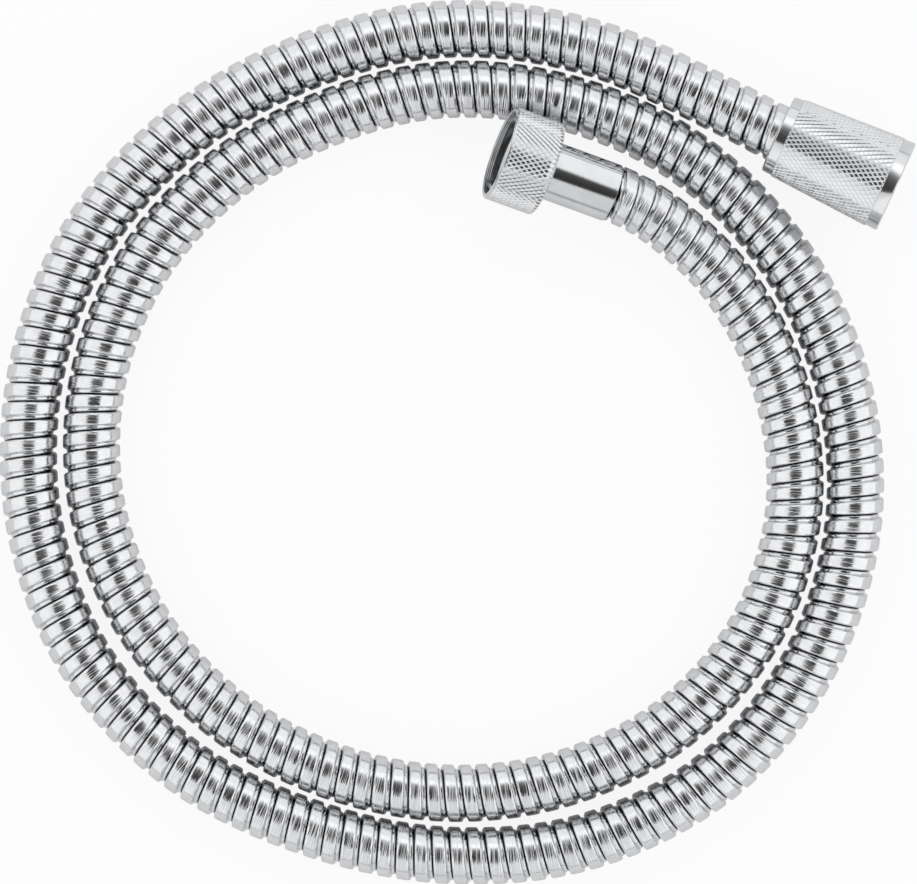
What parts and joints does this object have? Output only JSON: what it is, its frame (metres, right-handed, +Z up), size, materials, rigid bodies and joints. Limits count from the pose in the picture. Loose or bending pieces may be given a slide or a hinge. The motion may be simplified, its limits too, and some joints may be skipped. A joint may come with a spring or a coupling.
{
  "type": "shower hose",
  "caption": "Flexible shower hose with strip-wound metal armour, laid down in loose turns, with a short knurled nut at one end and a long knurled cone nut at the other.",
  "frame": {"origin": "on the surface that the hose lies on, at the middle of its footprint", "axes": "+Z up, +X towards the side where the handset nut lies, +Y towards the side where both nuts lie"},
  "size_m": [0.2229, 0.2157, 0.0294],
  "materials": {
    "armour": "polished",
    "chrome": "polished",
    "brass": "machined",
    "washer_rubber": "matte",
    "inner_tube": "satin"
  },
  "bodies": {
    "hose": {"armour": "armour", "inner_hose": "inner_tube", "wall_washer": "washer_rubber", "wall_nipple": "brass", "wall_sleeve": "chrome", "handset_washer": "washer_rubber", "handset_nipple": "brass", "handset_sleeve": "chrome"},
    "wall_end_nut": {"wall_nut": "chrome"},
    "handset_end_nut": {"handset_nut": "chrome"}
  },
  "joints": [
    {"name": "wall_nut_spin", "type": "hinge", "parent": "hose", "child": "wall_end_nut", "pos_m": [0.00989, 0.0701, 0.0179], "axis": [-0.9289, 0.3271, 0.1736], "continuous": true},
    {"name": "handset_nut_spin", "type": "hinge", "parent": "hose", "child": "handset_end_nut", "pos_m": [0.10639, 0.06196, 0.01178], "axis": [0.907, -0.4172, 0.057], "continuous": true}
  ]
}
